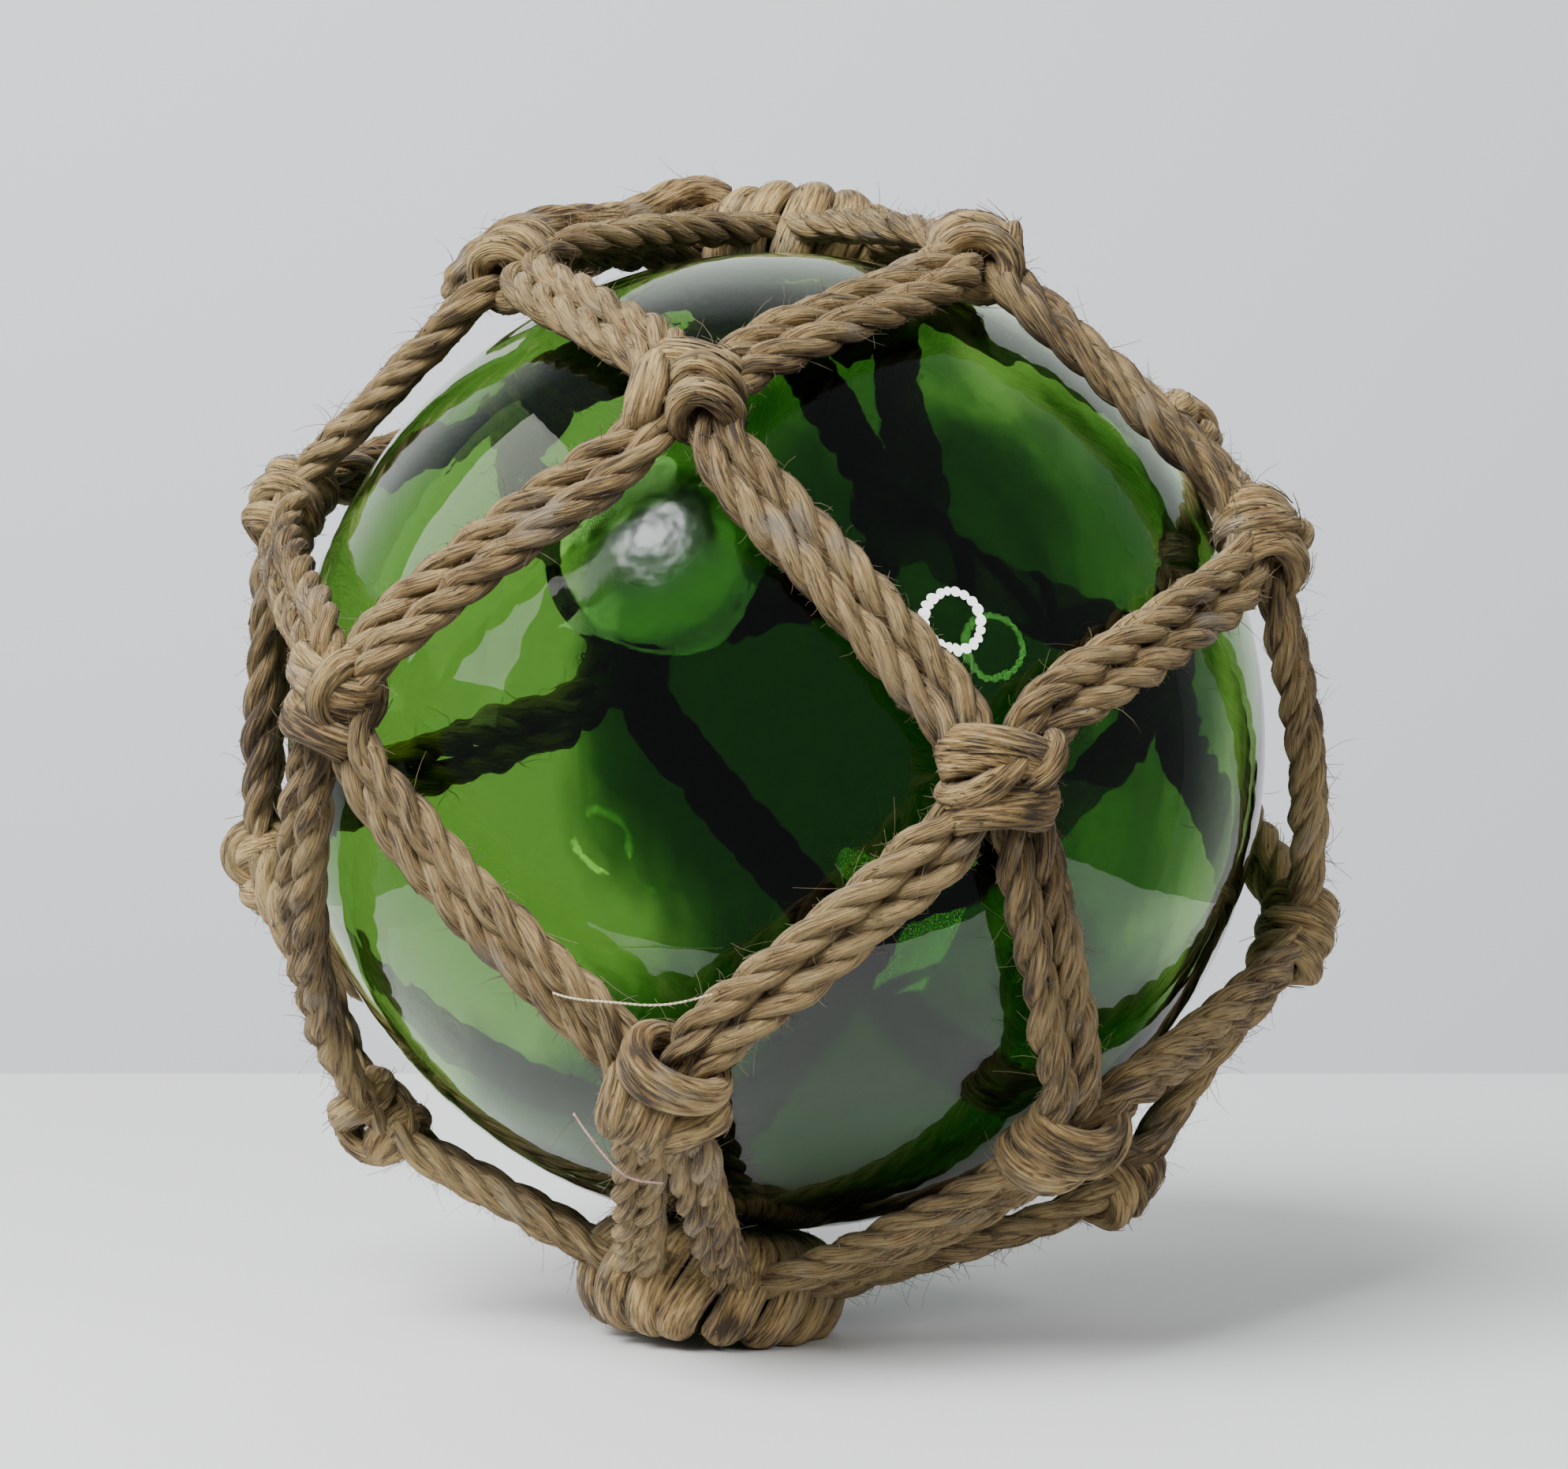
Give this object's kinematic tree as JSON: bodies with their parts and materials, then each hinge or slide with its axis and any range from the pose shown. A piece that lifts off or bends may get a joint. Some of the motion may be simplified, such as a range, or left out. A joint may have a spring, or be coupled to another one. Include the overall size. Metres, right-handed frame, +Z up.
{
  "type": "glass fishing float in a rope net",
  "caption": "Round glass fishing float held in a knotted rope net, standing on the net's bottom ring, with a short hanging loop at the top.",
  "frame": {"origin": "on the flat spot of the bottom ring, straight below the centre of the ball, where the float stands on a floor", "axes": "+Z up, -Y towards the front with the seal button, +X to the viewer's right"},
  "size_m": [0.1735, 0.1663, 0.1815],
  "materials": {
    "green_glass": "clear, blown, glossy",
    "jute_rope": "laid natural fibre, matt"
  },
  "bodies": {
    "root": {"glass_float": "green_glass", "bottom_ring": "jute_rope", "top_ring": "jute_rope", "net_cord_1": "jute_rope", "net_cord_2": "jute_rope", "net_cord_3": "jute_rope", "net_cord_4": "jute_rope", "net_cord_5": "jute_rope", "net_cord_6": "jute_rope", "net_cord_7": "jute_rope", "net_cord_8": "jute_rope", "net_cord_9": "jute_rope", "net_cord_10": "jute_rope", "hanging_loop": "jute_rope"}
  },
  "joints": []
}
